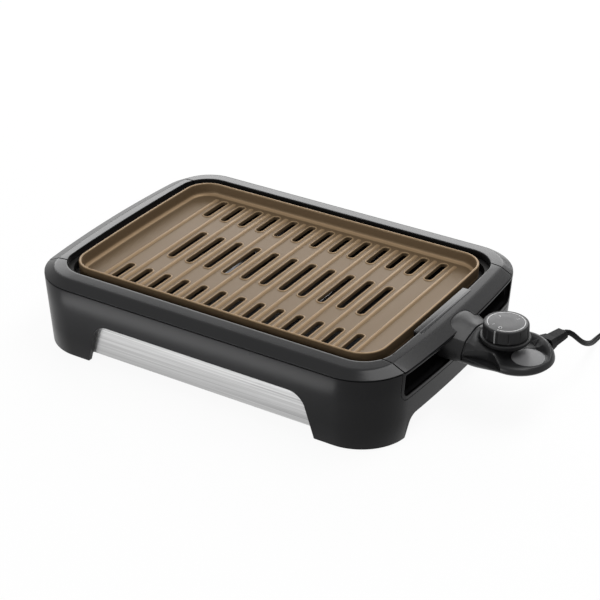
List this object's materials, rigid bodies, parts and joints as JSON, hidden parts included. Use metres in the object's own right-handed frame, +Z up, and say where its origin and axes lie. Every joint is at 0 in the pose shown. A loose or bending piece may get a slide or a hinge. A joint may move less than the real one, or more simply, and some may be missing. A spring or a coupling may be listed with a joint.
{
  "type": "electric indoor grill",
  "caption": "Low electric indoor grill with a slotted bronze plate in a black moulded base, a steel front panel and a plug-in thermostat control with its cord",
  "frame": {"origin": "centre of the base's footprint, on the surface that its rubber feet stand on", "axes": "+X along the length towards the plug-in control, +Y towards the rear where the drip tray draws out, +Z up"},
  "size_m": [0.74, 0.4437, 0.1074],
  "materials": {
    "black_plastic": "gloss moulded, black",
    "rim_plastic": "satin gloss moulded, black",
    "dark_plastic": "fine grained, black",
    "steel_panel": "brushed along its length",
    "zinc_sheet": "plain rolled sheet",
    "coated_plate": "bronze non-stick coating",
    "coated_tray": "black non-stick coating",
    "heater_sheath": "heat-darkened tube",
    "insulator": "heat-resistant moulding",
    "bright_metal": "polished",
    "contact_brass": "plain",
    "soft_black": "flexible, black",
    "dial_grey": "printed disc",
    "lens_grey": "moulded lens",
    "lamp_glass": "clear bulb"
  },
  "bodies": {
    "base": {"base_front": "black_plastic", "base_rear": "black_plastic", "base_left": "black_plastic", "base_right": "black_plastic", "front_bezel": "rim_plastic", "rear_bezel": "rim_plastic", "left_handle": "rim_plastic", "right_handle": "rim_plastic", "front_trim_panel": "steel_panel", "heat_shield": "zinc_sheet", "tray_runners": "zinc_sheet", "heating_element": "heater_sheath", "terminal_pins": "bright_metal", "element_brackets": "zinc_sheet", "terminal_block": "insulator", "control_shroud": "black_plastic", "rubber_feet": "soft_black", "rim_screws": "bright_metal", "panel_fixings": "bright_metal"},
    "plate": {"grill_plate": "coated_plate"},
    "tray": {"drip_tray": "coated_tray", "tray_fascia": "black_plastic"},
    "control": {"control_upper_shell": "black_plastic", "control_lower_shell": "dark_plastic", "control_nose": "insulator", "socket_contacts": "contact_brass", "probe_rod": "bright_metal", "thermostat_block": "insulator", "contact_arm": "contact_brass", "internal_leads": "soft_black", "pilot_lamp": "lamp_glass", "pilot_lens": "lens_grey", "dial_collar": "dark_plastic", "strain_relief": "soft_black", "power_cord": "soft_black", "cord_coil": "soft_black", "cord_tie": "soft_black", "plug_body": "soft_black", "plug_blades": "contact_brass", "control_screws": "bright_metal"},
    "knob": {"control_knob": "dark_plastic", "dial_disc": "dial_grey", "knob_spindle": "bright_metal"}
  },
  "joints": [
    {"name": "plate_lift", "type": "slide", "parent": "base", "child": "plate", "axis": [0, 0, 1], "range_m": [0, 0.06]},
    {"name": "tray_slide", "type": "slide", "parent": "base", "child": "tray", "axis": [0, 1, 0], "range_m": [0, 0.24]},
    {"name": "control_pull", "type": "slide", "parent": "base", "child": "control", "axis": [1, 0, 0], "range_m": [0, 0.11]},
    {"name": "knob_turn", "type": "hinge", "parent": "control", "child": "knob", "pos_m": [0.2936, 0, 0.1], "axis": [0, 0, 1], "range_deg": [0, 270]}
  ]
}
